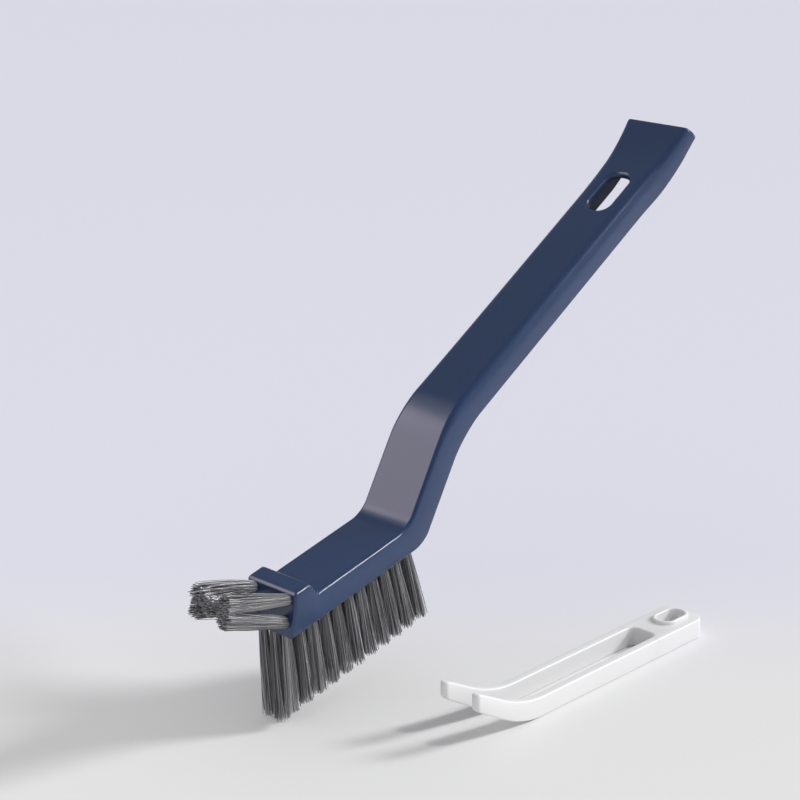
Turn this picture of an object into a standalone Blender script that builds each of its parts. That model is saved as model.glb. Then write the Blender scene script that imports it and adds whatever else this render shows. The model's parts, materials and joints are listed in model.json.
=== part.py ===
# Window cleaning brush: a moulded handle with tufts under its head and on its nose,
# and a tweezer clip that stores in the channel under the grip and lies beside the brush.
# The brush is modelled in its head's own frame: u runs along the head from nose to handle,
# y runs across it, v stands square to the head. The whole is then pitched as it is held.

import math
import random

import bmesh
import bpy
from mathutils import Matrix, Vector

MM = 0.001

# Head: a straight block with a slanted nose and a raised lip across its top.
HEAD_LENGTH = 62.9 * MM
HEAD_THICKNESS = 9.3 * MM
HANDLE_WIDTH = 23.5 * MM
NOSE_LEAN = math.radians(21.5)
LIP_HEIGHT = 4.8 * MM
LIP_LENGTH = 7.0 * MM
LIP_BACK_LEAN = math.radians(22.5)

# Neck, grip and flared end, all turned up from the head.
NECK_ANGLE = math.radians(46.8)
NECK_LENGTH = 38.9 * MM
NECK_THICKNESS = 10.6 * MM
GRIP_ANGLE = math.radians(18.5)
GRIP_LENGTH = 126.9 * MM
GRIP_THICKNESS = 10.2 * MM
FLARE_ANGLE = math.radians(39.0)
FLARE_LENGTH = 19.8 * MM
FLARE_TAPER = 3.5 * MM
END_WIDTH = 28.4 * MM
END_CORNER = 1.4 * MM
FLARE_POWER = 1.6

# Edges of the moulding: crisp on the head, soft on the grip. The underside's keys below the
# lip lie at a share of the lip's own.
NOSE_EDGE = 1.2 * MM
HEAD_EDGE = 0.7 * MM
GRIP_EDGE = 2.0 * MM
END_EDGE = 1.4 * MM
RIM_RADIUS = 0.9 * MM
SIDE_CROWN = 0.35 * MM
LEAST_EDGE = 0.3 * MM
LIP_ROUND = 0.8 * MM
HEEL_ROUND = 1.6 * MM
BEND_ROUND = 3.5 * MM
FLARE_ROUND = 7.5 * MM
UNDER_LIP_BACK = 0.7
UNDER_LIP_FOOT = 0.85
EDGE_STEPS = 3
BEND_STEPS = 5
SHARP_ANGLE = math.radians(32.0)

# Hanging slot through the grip's roof.
SLOT_LENGTH = 18.8 * MM
SLOT_WIDTH = 9.6 * MM
SLOT_CORNER = 4.3 * MM
SLOT_FROM_FLARE = 18.1 * MM
SLOT_RIM = 1.5 * MM

# Tweezer clip: an eyelet block and two arms that stand on edge and bend up at their tips.
CLIP_WIDTH = 16.5 * MM
CLIP_HEIGHT = 7.2 * MM
ARM_THICKNESS = 3.1 * MM
ARM_LENGTH = 96.0 * MM
ARM_BEND = 23.0 * MM
ARM_RISE = 12.8 * MM
ARM_TIP_HEIGHT = 6.4 * MM
ARM_BEND_ROUND = 10.0 * MM
ARM_END_ARC = math.radians(79.0)
ARM_EDGE_SHARE = 0.8
BLOCK_LENGTH = 24.0 * MM
EYE_LENGTH = 12.0 * MM
EYE_WIDTH = 6.6 * MM
EYE_FROM_END = 9.6 * MM
COLLAR_HEIGHT = 1.2 * MM
COLLAR_WALL = 1.3 * MM
BLOCK_CORNER = 4.5 * MM
CLIP_EDGE = 0.6 * MM
CLIP_EDGE_STEPS = 2
CLIP_FIT = 0.45 * MM

# Channel under the neck and grip that the clip stores in.
ROOF_THICKNESS = 2.4 * MM
CHANNEL_END_WALL = 2.6 * MM
CHANNEL_CORNER = 0.9 * MM

# Tufts: rows under the head, fanned from nose to heel, and five in the nose.
TUFT_COUNT = 11
TUFT_ROWS = 3
TUFT_FIRST = 3.2 * MM
TUFT_PITCH = 5.55 * MM
ROW_PITCH = 5.4 * MM
TUFT_ROOT_RADIUS = 1.35 * MM
TUFT_TIP_RADIUS = 2.45 * MM
TUFT_DEPTH = 1.7 * MM
TUFT_FAN_FRONT = math.radians(-8.5)
TUFT_FAN_REAR = math.radians(1.5)
TRIM_DEPTH = 28.3 * MM
FRONT_TUFT_EXTRA = 4.8 * MM
NOSE_TUFT_ROOT_RADIUS = 1.6 * MM
NOSE_TUFT_TIP_RADIUS = 3.2 * MM
NOSE_TUFT_DEPTH = 1.5 * MM
NOSE_TUFT_LENGTH = 26.2 * MM
NOSE_TUFT_ANGLE = math.radians(149.5)
NOSE_TUFT_SPREAD_Y = 7.7 * MM
NOSE_TUFT_SPREAD_V = 3.7 * MM
NOSE_TUFT_MIDDLE = 8.8 * MM
NOSE_TUFT_CLOSE = 0.8
ROOT_SIDES = 6
STRAND_INSET = 0.035 * MM
STRAND_TAPER = 0.8
RAGGED = 0.7 * MM

# Fits and placing. The clip lies beside the brush, its eyelet end away from the nose.
CLEARANCE = 0.3 * MM
OVERCUT = 4.0 * MM
HOLE_SIDES = 10
SEAT_SIDES = 24
OBLONG_ROUND = 0.49
HEAD_PITCH = math.radians(13.6)
CLIP_END_FROM_NOSE = 153.5 * MM
CLIP_ASIDE = 51.5 * MM

NAVY = (0.017, 0.030, 0.085, 1.0)
NAVY_ROUGHNESS = 0.32
BRISTLE_GREY = (0.150, 0.150, 0.165, 1.0)
BRISTLE_ROUGHNESS = 0.55
WHITE = (0.830, 0.830, 0.840, 1.0)
WHITE_ROUGHNESS = 0.38


def clear_scene():
    for obj in list(bpy.data.objects):
        bpy.data.objects.remove(obj, do_unlink=True)


def make_material(name, color, roughness):
    material = bpy.data.materials.new(name)
    material.use_nodes = True
    shader = material.node_tree.nodes["Principled BSDF"]
    shader.inputs["Base Color"].default_value = color
    shader.inputs["Roughness"].default_value = roughness
    shader.inputs["Metallic"].default_value = 0.0
    return material


def direction(angle):
    return Vector((math.cos(angle), math.sin(angle)))


def left_of(vector):
    return Vector((-vector.y, vector.x))


def meet(point_a, along_a, point_b, along_b):
    # Where two lines of the side view cross.
    cross = along_a.x * along_b.y - along_a.y * along_b.x
    gap = point_b - point_a
    return point_a + along_a * ((gap.x * along_b.y - gap.y * along_b.x) / cross)


def rounded_line(points, setbacks, steps):
    # A line through the points, each inner corner turned into an arc that starts one
    # setback before the corner and ends one setback after it.
    line = [points[0].copy()]
    for before, corner, after, setback in zip(points, points[1:], points[2:], setbacks):
        into = (corner - before).normalized()
        out = (after - corner).normalized()
        turn = into.angle_signed(out, 0.0)
        for step in range(steps + 1):
            share = step / steps
            if abs(turn) < 1e-4:
                line.append(corner + into * setback * (2.0 * share - 1.0))
                continue
            radius = setback / math.tan(abs(turn) / 2.0)
            side = left_of(into) * (-1.0 if turn > 0.0 else 1.0)
            centre = corner - into * setback + side * radius
            spoke = Matrix.Rotation(-turn * share, 2) @ (side * -radius)
            line.append(centre + spoke)
    line.append(points[-1].copy())
    return line


def section(under, top, half, edge_top, edge_under, crown):
    # One closed ring across the moulding: flat top and underside, rounded edges and
    # slightly crowned sides.
    up = (top - under).normalized()
    height = (top - under).length
    wide = half - crown
    corners = (
        (wide - edge_under, edge_under, edge_under, -90.0),
        (wide - edge_top, height - edge_top, edge_top, 0.0),
    )
    right = []
    for index, (y, z, radius, start) in enumerate(corners):
        if index == 1:
            right.append((half, height * 0.5))
        for step in range(EDGE_STEPS + 1):
            angle = math.radians(start + 90.0 * step / EDGE_STEPS)
            right.append((y + radius * math.cos(angle), z + radius * math.sin(angle)))
    ring = right + [(-y, z) for y, z in reversed(right)]
    spots = []
    for y, z in ring:
        spot = under + up * z
        spots.append(Vector((spot.x, y, spot.y)))
    return spots


def loft(name, rings):
    # Skins the rings in order and closes both ends.
    bm = bmesh.new()
    loops = []
    for ring in rings:
        verts = [bm.verts.new(spot) for spot in ring]
        loops.append([bm.edges.new((a, b)) for a, b in zip(verts, verts[1:] + verts[:1])])
    for first, second in zip(loops, loops[1:]):
        bmesh.ops.bridge_loops(bm, edges=first + second)
    for edges in (loops[0], loops[-1]):
        bmesh.ops.contextual_create(bm, geom=edges)
    return finish_mesh(name, bm)


def finish_mesh(name, bm):
    bmesh.ops.recalc_face_normals(bm, faces=bm.faces)
    mesh = bpy.data.meshes.new(name)
    bm.to_mesh(mesh)
    bm.free()
    return mesh


def add_object(name, mesh, material, parent):
    mesh.shade_smooth()
    mesh.set_sharp_from_angle(angle=SHARP_ANGLE)
    obj = bpy.data.objects.new(name, mesh)
    bpy.context.scene.collection.objects.link(obj)
    if material:
        mesh.materials.append(material)
    obj.parent = parent
    return obj


def add_boolean(name, mesh, target, operation):
    # A hidden helper that is cut from the target or joined to it.
    helper = bpy.data.objects.new(name, mesh)
    bpy.context.scene.collection.objects.link(helper)
    helper.parent = target.parent
    helper.hide_render = True
    helper.display_type = "WIRE"
    step = target.modifiers.new(name, "BOOLEAN")
    step.operation = operation
    step.solver = "EXACT"
    step.object = helper


def side_lines():
    # Key points of the underside and the top of the handle, paired from nose to end.
    neck = direction(NECK_ANGLE)
    grip = direction(GRIP_ANGLE)
    flare = direction(FLARE_ANGLE)
    lip_top = HEAD_THICKNESS + LIP_HEIGHT
    nose_top = Vector((lip_top * math.tan(NOSE_LEAN), lip_top))
    lip_back = nose_top + Vector((LIP_LENGTH, 0.0))
    lip_foot = Vector((lip_back.x + LIP_HEIGHT * math.tan(LIP_BACK_LEAN), HEAD_THICKNESS))
    heel = Vector((HEAD_LENGTH, 0.0))
    bend = heel + neck * NECK_LENGTH
    flare_start = bend + grip * GRIP_LENGTH
    end_under = flare_start + flare * FLARE_LENGTH
    neck_top = heel + left_of(neck) * NECK_THICKNESS
    grip_top = bend + left_of(grip) * GRIP_THICKNESS
    end_thickness = GRIP_THICKNESS - FLARE_TAPER
    top_angle = FLARE_ANGLE - math.atan(FLARE_TAPER / FLARE_LENGTH) / 2
    end_top = end_under + left_of(flare) * end_thickness
    level = Vector((1.0, 0.0))
    half_way = flare_start - grip * FLARE_LENGTH
    under = [
        Vector((0.0, 0.0)),
        Vector((lip_back.x * UNDER_LIP_BACK, 0.0)),
        Vector((lip_foot.x * UNDER_LIP_FOOT, 0.0)),
        heel,
        bend,
        half_way,
        flare_start,
        end_under,
    ]
    top = [
        nose_top,
        lip_back,
        lip_foot,
        meet(lip_foot, level, neck_top, neck),
        meet(neck_top, neck, grip_top, grip),
        half_way + left_of(grip) * GRIP_THICKNESS,
        meet(grip_top, grip, end_top, direction(top_angle)),
        end_top,
    ]
    return under, top


def slot_place():
    # The middle of the hanging slot on the grip's top face; the whole model's origin.
    grip = direction(GRIP_ANGLE)
    bend = Vector((HEAD_LENGTH, 0.0)) + direction(NECK_ANGLE) * NECK_LENGTH
    return bend + grip * (GRIP_LENGTH - SLOT_FROM_FLARE) + left_of(grip) * GRIP_THICKNESS


def half_width_at(u, flare_u, end_u):
    share = min(max((u - flare_u) / (end_u - flare_u), 0.0), 1.0)
    return 0.5 * (HANDLE_WIDTH + (END_WIDTH - HANDLE_WIDTH) * share ** FLARE_POWER)


def edge_at(u, stations):
    # The top edge's radius, drawn evenly from one station along the handle to the next.
    radius = stations[0][1]
    for (low_u, low_radius), (high_u, high_radius) in zip(stations, stations[1:]):
        share = min(max((u - low_u) / (high_u - low_u), 0.0), 1.0)
        radius += (high_radius - low_radius) * share
    return radius


def end_rings(under, top, half, inward, corner_y, radius):
    # The rounded rim of an end face: rings that draw in as they reach the face.
    rings = []
    up = (top - under).normalized()
    for step in range(EDGE_STEPS, 0, -1):
        angle = math.radians(90.0 * step / EDGE_STEPS)
        draw = 1.0 - math.cos(angle)
        shift = inward * (radius * (1.0 - math.sin(angle)))
        low = under + shift + up * (radius * draw)
        high = top + shift - up * (radius * draw)
        edge = max(radius * (1.0 - draw), LEAST_EDGE)
        rings.append(section(low, high, half - corner_y * draw, edge, edge, SIDE_CROWN))
    return rings


def build_handle(material, frame):
    under_keys, top_keys = side_lines()
    rounds = [LIP_ROUND, LIP_ROUND, HEEL_ROUND, BEND_ROUND, BEND_ROUND, FLARE_ROUND]
    under = rounded_line(under_keys, rounds, BEND_STEPS)
    top = rounded_line(top_keys, rounds, BEND_STEPS)
    flare_u = under_keys[5].x
    end_u = under_keys[-1].x
    nose_in = -left_of((top[0] - under[0]).normalized())
    end_in = left_of((top[-1] - under[-1]).normalized())
    stations = [
        (0.0, NOSE_EDGE),
        (top_keys[2].x, HEAD_EDGE),
        (under_keys[3].x, HEAD_EDGE),
        (under_keys[4].x, GRIP_EDGE),
        (flare_u, GRIP_EDGE),
        (end_u, END_EDGE),
    ]
    nose = end_rings(under[0], top[0], HANDLE_WIDTH / 2, nose_in, NOSE_EDGE, NOSE_EDGE)
    end = end_rings(under[-1], top[-1], END_WIDTH / 2, end_in, END_CORNER, END_EDGE)
    for line in (under, top):
        line[0] = line[0] + nose_in * NOSE_EDGE
        line[-1] = line[-1] + end_in * END_EDGE
    body = []
    for low, high in zip(under, top):
        half = half_width_at(low.x, flare_u, end_u)
        edge = edge_at(low.x, stations)
        body.append(section(low, high, half, edge, RIM_RADIUS, SIDE_CROWN))
    mesh = loft("handle_body", nose + body + end[::-1])
    handle = add_object("handle_body", mesh, material, frame)
    add_boolean("channel_cutter", channel_mesh(), handle, "DIFFERENCE")
    add_boolean("slot_cutter", slot_mesh(), handle, "DIFFERENCE")
    return handle


def channel_mesh():
    # The hollow under the neck and grip, open downward. The clip stores in it with the
    # bend of its arms at the bend of the handle.
    neck = direction(NECK_ANGLE)
    grip = direction(GRIP_ANGLE)
    flare = direction(FLARE_ANGLE)
    under_keys, top_keys = side_lines()
    bend = under_keys[4]
    flare_start = under_keys[6]
    end_under = under_keys[7]
    bend_out = left_of((neck + grip).normalized())
    flare_out = left_of((grip + flare).normalized())
    flare_top = (top_keys[7] - top_keys[6]).normalized()
    start = bend - neck * (math.hypot(ARM_BEND, ARM_RISE) + CLIP_FIT)
    under = [
        start - left_of(neck) * OVERCUT,
        bend - bend_out * OVERCUT,
        flare_start - flare_out * OVERCUT,
        end_under - flare * CHANNEL_END_WALL - left_of(flare) * OVERCUT,
    ]
    top = [
        start + left_of(neck) * (NECK_THICKNESS - ROOF_THICKNESS),
        top_keys[4] - bend_out * ROOF_THICKNESS,
        top_keys[6] - flare_out * ROOF_THICKNESS,
        top_keys[7] - flare_top * CHANNEL_END_WALL - left_of(flare_top) * ROOF_THICKNESS,
    ]
    low = rounded_line(under, [BEND_ROUND, FLARE_ROUND], BEND_STEPS)
    high = rounded_line(top, [BEND_ROUND, FLARE_ROUND], BEND_STEPS)
    half = CLIP_WIDTH / 2 + CLIP_FIT
    rings = []
    for under_spot, top_spot in zip(low, high):
        rings.append(section(under_spot, top_spot, half, CHANNEL_CORNER, CHANNEL_CORNER, 0.0))
    return loft("channel_cutter", rings)


def oblong(length, width, corner, steps):
    # Points of a rectangle with rounded corners, in its own plane.
    points = []
    for turn, (x, y) in enumerate(((1, 1), (-1, 1), (-1, -1), (1, -1))):
        for step in range(steps + 1):
            angle = math.radians(90.0 * (turn + step / steps))
            along = x * (length / 2 - corner) + corner * math.cos(angle)
            across = y * (width / 2 - corner) + corner * math.sin(angle)
            points.append((along, across))
    return points


def slot_mesh():
    # A plug of the slot's shape that widens into a rounded rim at the top face.
    grip = direction(GRIP_ANGLE)
    square = left_of(grip)
    centre = slot_place()
    layers = [(-GRIP_THICKNESS, 0.0)]
    for step in range(EDGE_STEPS + 1):
        angle = math.radians(90.0 * step / EDGE_STEPS)
        layers.append((SLOT_RIM * (math.sin(angle) - 1.0), SLOT_RIM * (1.0 - math.cos(angle))))
    layers.append((OVERCUT, SLOT_RIM))
    rings = []
    for height, grow in layers:
        ring = []
        for along, across in oblong(
            SLOT_LENGTH + 2 * grow, SLOT_WIDTH + 2 * grow, SLOT_CORNER + grow, BEND_STEPS
        ):
            spot = centre + square * height + grip * along
            ring.append(Vector((spot.x, across, spot.y)))
        rings.append(ring)
    return loft("slot_cutter", rings)


def tuft_places():
    # Every tuft as its name, root, tip and the depth of its socket, in (u, y, v).
    places = []
    for row in range(TUFT_ROWS):
        y = ROW_PITCH * (row - (TUFT_ROWS - 1) / 2)
        for number in range(TUFT_COUNT):
            share = number / max(TUFT_COUNT - 1, 1)
            fan = TUFT_FAN_FRONT + (TUFT_FAN_REAR - TUFT_FAN_FRONT) * share
            reach = TRIM_DEPTH
            if number == 0 and row > 0:
                reach += FRONT_TUFT_EXTRA
            u = TUFT_FIRST + TUFT_PITCH * number
            root = Vector((u, y, 0.0))
            tip = Vector((u + reach * math.tan(fan), y, -reach))
            places.append((f"head_tuft_{row + 1}_{number + 1:02d}", root, tip))
    face = direction(math.pi / 2 - NOSE_LEAN)
    way = direction(NOSE_TUFT_ANGLE) * NOSE_TUFT_LENGTH
    quincunx = ((0, 0), (-1, -1), (-1, 1), (1, -1), (1, 1))
    for number, (side, level) in enumerate(quincunx):
        low = face * (NOSE_TUFT_MIDDLE + NOSE_TUFT_SPREAD_V * level)
        high = face * (NOSE_TUFT_MIDDLE + NOSE_TUFT_SPREAD_V * level * NOSE_TUFT_CLOSE) + way
        y = NOSE_TUFT_SPREAD_Y * side
        root = Vector((low.x, y, low.y))
        tip = Vector((high.x, y * NOSE_TUFT_CLOSE, high.y))
        places.append((f"nose_tuft_{number + 1}", root, tip))
    return places


def points_up(face, centre):
    # True for every second triangle of the root's top: those with a corner toward +X.
    spoke = face.verts[0].co - centre
    third = 2.0 * math.pi / 3.0
    angle = math.atan2(spoke.y, spoke.x) % third
    return min(angle, third - angle) < third / 4.0


def tuft_mesh(name, root_radius, tip_radius, depth, trim_point, trim_normal, seed):
    # A slice of root with every second triangle of its top drawn out into a strand.
    # Strands fan from one point below the root, so none can cross another.
    dice = random.Random(seed)
    bm = bmesh.new()
    bmesh.ops.create_circle(bm, cap_ends=True, segments=ROOT_SIDES, radius=root_radius)
    bmesh.ops.poke(bm, faces=bm.faces[:])
    bmesh.ops.subdivide_edges(bm, edges=bm.edges[:], cuts=1, use_grid_fill=True)
    strands = [face for face in bm.faces if points_up(face, face.calc_center_median())]
    rim = [edge for edge in bm.edges if edge.is_boundary]
    skirt = bmesh.ops.extrude_edge_only(bm, edges=rim)["geom"]
    bottom = [item for item in skirt if isinstance(item, bmesh.types.BMVert)]
    bmesh.ops.translate(bm, verts=bottom, vec=(0.0, 0.0, -depth))
    low_edges = [edge for edge in bm.edges if all(vert in bottom for vert in edge.verts)]
    bmesh.ops.contextual_create(bm, geom=low_edges)
    bmesh.ops.recalc_face_normals(bm, faces=bm.faces)
    bmesh.ops.inset_individual(bm, faces=strands, thickness=STRAND_INSET)
    tips = bmesh.ops.extrude_discrete_faces(bm, faces=strands)["faces"]
    spread = (tip_radius / root_radius - 1.0) / trim_point.length
    for face in tips:
        centre = face.calc_center_median()
        way = Vector((centre.x * spread, centre.y * spread, 1.0))
        reach = (trim_point - centre).dot(trim_normal) / way.dot(trim_normal)
        reach -= dice.uniform(0.0, RAGGED)
        for vert in face.verts:
            vert.co = centre + (vert.co - centre) * STRAND_TAPER + way * reach
    return finish_mesh(name, bm)


def build_tufts(material, frame, handle):
    holes = bmesh.new()
    tufts = []
    for seed, (name, root, tip) in enumerate(tuft_places()):
        on_nose = name.startswith("nose")
        root_radius = NOSE_TUFT_ROOT_RADIUS if on_nose else TUFT_ROOT_RADIUS
        tip_radius = NOSE_TUFT_TIP_RADIUS if on_nose else TUFT_TIP_RADIUS
        depth = NOSE_TUFT_DEPTH if on_nose else TUFT_DEPTH
        way = tip - root
        turn = way.to_track_quat("Z", "Y").to_matrix().to_4x4()
        place = Matrix.Translation(root) @ turn
        trim_point = Vector((0.0, 0.0, way.length))
        trim_normal = Vector((0.0, 0.0, 1.0))
        if not on_nose:
            trim_normal = turn.inverted() @ Vector((0.0, 0.0, -1.0))
        mesh = tuft_mesh(name, root_radius, tip_radius, depth, trim_point, trim_normal, seed)
        tuft = add_object(name, mesh, material, frame)
        tuft.matrix_local = place
        tufts.append(tuft)
        deep = depth + CLEARANCE
        bore = bmesh.ops.create_cone(
            holes, cap_ends=True, segments=HOLE_SIDES, depth=deep + OVERCUT,
            radius1=root_radius + CLEARANCE, radius2=root_radius + CLEARANCE,
        )["verts"]
        shift = Matrix.Translation((0.0, 0.0, (OVERCUT - deep) / 2))
        bmesh.ops.transform(holes, verts=bore, matrix=place @ shift)
    hole_mesh = finish_mesh("tuft_hole_cutter", holes)
    add_boolean("tuft_hole_cutter", hole_mesh, handle, "DIFFERENCE")
    return tufts


def arm_rings():
    # An arm on edge: round at the hinge, straight along the floor, tip bent up.
    half = ARM_THICKNESS / 2
    rings = []
    for step in range(EDGE_STEPS, 0, -1):
        angle = ARM_END_ARC * step / EDGE_STEPS
        x = half * math.sin(angle)
        rings.append(arm_section(x, 0.0, CLIP_HEIGHT, half * math.cos(angle)))
    rings.append(arm_section(0.0, 0.0, CLIP_HEIGHT, half))
    straight = ARM_LENGTH - ARM_BEND
    rise_keys = (
        Vector((-straight / 2, 0.0)),
        Vector((-straight, 0.0)),
        Vector((-ARM_LENGTH, ARM_RISE)),
    )
    line = rounded_line(rise_keys, [ARM_BEND_ROUND], BEND_STEPS)
    for spot in line[:-1]:
        share = max((-spot.x - straight) / ARM_BEND, 0.0)
        tall = CLIP_HEIGHT + (ARM_TIP_HEIGHT - CLIP_HEIGHT) * share
        rings.append(arm_section(spot.x, spot.y, tall, half))
    tip_angle = math.atan2(ARM_RISE, ARM_BEND)
    for step in range(EDGE_STEPS + 1):
        angle = ARM_END_ARC * step / EDGE_STEPS
        back = half * (1.0 - math.sin(angle))
        low = line[-1] + Vector((back * math.cos(tip_angle), -back * math.sin(tip_angle)))
        draw = half * (1.0 - math.cos(angle))
        tall = ARM_TIP_HEIGHT - 2 * draw
        rings.append(arm_section(low.x, low.y + draw, tall, half - draw * ARM_EDGE_SHARE))
    return rings


def arm_section(x, low, tall, half):
    edge = min(CLIP_EDGE, half * ARM_EDGE_SHARE)
    return section(Vector((x, low)), Vector((x, low + tall)), half, edge, edge, 0.0)


def eyelet_mesh():
    # The block that joins the arms, seen from above: square where the arms hinge,
    # rounded at its far end.
    bm = bmesh.new()
    outline = [Vector((-BLOCK_LENGTH, -CLIP_WIDTH / 2)), Vector((0.0, -CLIP_WIDTH / 2))]
    outline += [Vector((0.0, CLIP_WIDTH / 2)), Vector((-BLOCK_LENGTH, CLIP_WIDTH / 2))]
    points = rounded_line(outline, [BLOCK_CORNER, BLOCK_CORNER], BEND_STEPS)
    verts = [bm.verts.new((point.x, point.y, 0.0)) for point in points]
    face = bm.faces.new(verts)
    top = bmesh.ops.extrude_face_region(bm, geom=[face])["geom"]
    lifted = [item for item in top if isinstance(item, bmesh.types.BMVert)]
    bmesh.ops.translate(bm, verts=lifted, vec=(0.0, 0.0, CLIP_HEIGHT))
    bmesh.ops.recalc_face_normals(bm, faces=bm.faces)
    rims = [edge for edge in bm.edges if abs(edge.verts[0].co.z - edge.verts[1].co.z) < CLIP_EDGE]
    bmesh.ops.bevel(
        bm, geom=rims, offset=CLIP_EDGE, segments=CLIP_EDGE_STEPS, profile=0.5,
        affect="EDGES", material=-1,
    )
    return finish_mesh("clip_eyelet", bm)


def eye_mesh(name, wall, low, high):
    # A plug of the eye's shape, grown by the wall, between two heights.
    length, width = EYE_LENGTH + 2 * wall, EYE_WIDTH + 2 * wall
    rings = []
    for height in (low, high):
        ring = oblong(length, width, width * OBLONG_ROUND, BEND_STEPS)
        rings.append([Vector((along - EYE_FROM_END, across, height)) for along, across in ring])
    return loft(name, rings)


def build_clip(material, floor_z, nose_x):
    place = bpy.data.objects.new("clip_frame", None)
    bpy.context.scene.collection.objects.link(place)
    place.location = (nose_x + CLIP_END_FROM_NOSE, -CLIP_ASIDE, floor_z)
    eyelet = add_object("clip_eyelet", eyelet_mesh(), material, place)
    collar = eye_mesh("eye_collar", COLLAR_WALL, CLIP_HEIGHT / 2, CLIP_HEIGHT + COLLAR_HEIGHT)
    add_boolean("eye_collar", collar, eyelet, "UNION")
    hole = eye_mesh("eye_cutter", 0.0, -OVERCUT, CLIP_HEIGHT + OVERCUT)
    add_boolean("eye_cutter", hole, eyelet, "DIFFERENCE")
    seats = bmesh.new()
    seat_radius = ARM_THICKNESS / 2 + CLEARANCE
    hinge_x = -BLOCK_LENGTH - CLEARANCE
    for name, side in (("clip_arm_near", -1), ("clip_arm_far", 1)):
        y = side * (CLIP_WIDTH - ARM_THICKNESS) / 2
        arm = add_object(name, loft(name, arm_rings()), material, place)
        arm.location = (hinge_x, y, 0.0)
        bmesh.ops.create_cone(
            seats, cap_ends=True, segments=SEAT_SIDES, depth=CLIP_HEIGHT + 2 * OVERCUT,
            radius1=seat_radius, radius2=seat_radius,
            matrix=Matrix.Translation((hinge_x, y, CLIP_HEIGHT / 2)),
        )
    seat_mesh = finish_mesh("hinge_seat_cutter", seats)
    add_boolean("hinge_seat_cutter", seat_mesh, eyelet, "DIFFERENCE")


def lowest_point(objects):
    bpy.context.view_layer.update()
    heights = []
    for obj in objects:
        heights.extend((obj.matrix_world @ vert.co).z for vert in obj.data.vertices)
    return min(heights)


def main():
    clear_scene()
    navy = make_material("navy_plastic", NAVY, NAVY_ROUGHNESS)
    grey = make_material("grey_nylon", BRISTLE_GREY, BRISTLE_ROUGHNESS)
    white = make_material("white_plastic", WHITE, WHITE_ROUGHNESS)
    frame = bpy.data.objects.new("brush_frame", None)
    bpy.context.scene.collection.objects.link(frame)
    pitch = Matrix.Rotation(-HEAD_PITCH, 4, "Y")
    slot = slot_place()
    frame.matrix_basis = pitch @ Matrix.Translation((-slot.x, 0.0, -slot.y))
    handle = build_handle(navy, frame)
    tufts = build_tufts(grey, frame, handle)
    nose_x = frame.matrix_basis.translation.x
    build_clip(white, lowest_point(tufts), nose_x)


main()
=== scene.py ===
# Window cleaning brush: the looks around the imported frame.

import json
import math
import random

import bmesh
import bpy
from mathutils import Matrix, Vector

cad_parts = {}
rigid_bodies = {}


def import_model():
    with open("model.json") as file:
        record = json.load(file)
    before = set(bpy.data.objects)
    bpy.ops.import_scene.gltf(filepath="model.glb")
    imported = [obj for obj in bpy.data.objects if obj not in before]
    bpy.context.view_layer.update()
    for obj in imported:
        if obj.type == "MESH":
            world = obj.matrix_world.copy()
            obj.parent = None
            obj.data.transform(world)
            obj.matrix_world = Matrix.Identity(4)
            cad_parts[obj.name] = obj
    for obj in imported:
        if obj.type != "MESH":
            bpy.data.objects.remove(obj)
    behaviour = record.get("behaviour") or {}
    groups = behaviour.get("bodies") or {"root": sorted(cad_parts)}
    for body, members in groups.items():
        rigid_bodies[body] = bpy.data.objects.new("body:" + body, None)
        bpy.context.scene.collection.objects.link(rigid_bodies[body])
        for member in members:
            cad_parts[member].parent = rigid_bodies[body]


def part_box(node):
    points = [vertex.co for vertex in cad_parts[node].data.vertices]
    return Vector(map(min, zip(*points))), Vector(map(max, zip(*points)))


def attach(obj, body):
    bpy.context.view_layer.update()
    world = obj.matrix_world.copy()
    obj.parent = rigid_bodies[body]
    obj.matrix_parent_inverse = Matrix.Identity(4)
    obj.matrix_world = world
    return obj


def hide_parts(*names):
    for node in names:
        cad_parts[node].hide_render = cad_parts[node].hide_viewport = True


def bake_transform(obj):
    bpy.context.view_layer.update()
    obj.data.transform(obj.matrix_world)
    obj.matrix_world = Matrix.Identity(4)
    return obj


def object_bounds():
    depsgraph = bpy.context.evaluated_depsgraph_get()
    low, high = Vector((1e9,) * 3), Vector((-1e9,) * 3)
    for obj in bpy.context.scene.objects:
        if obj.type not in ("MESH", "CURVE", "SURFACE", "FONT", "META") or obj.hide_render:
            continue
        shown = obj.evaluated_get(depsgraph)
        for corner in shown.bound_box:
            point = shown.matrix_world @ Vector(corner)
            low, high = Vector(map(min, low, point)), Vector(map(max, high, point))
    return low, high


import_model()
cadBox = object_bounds()
print("frame loaded")

mm = 0.001
toolOver = 3 * mm  # how far the slot's and the eye's tools stand out of the surface

# where the photograph was taken from, in metres from the hanging slot
photoCamera = {
    "place": (-0.5894, -0.4615, 0.1648),
    "heading": 43.69,  # degrees from +X
    "down": 18.03,
    "lens": 96.75,
    "sensor": 36.0,
    "clipEnd": 50.0,
}

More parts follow.
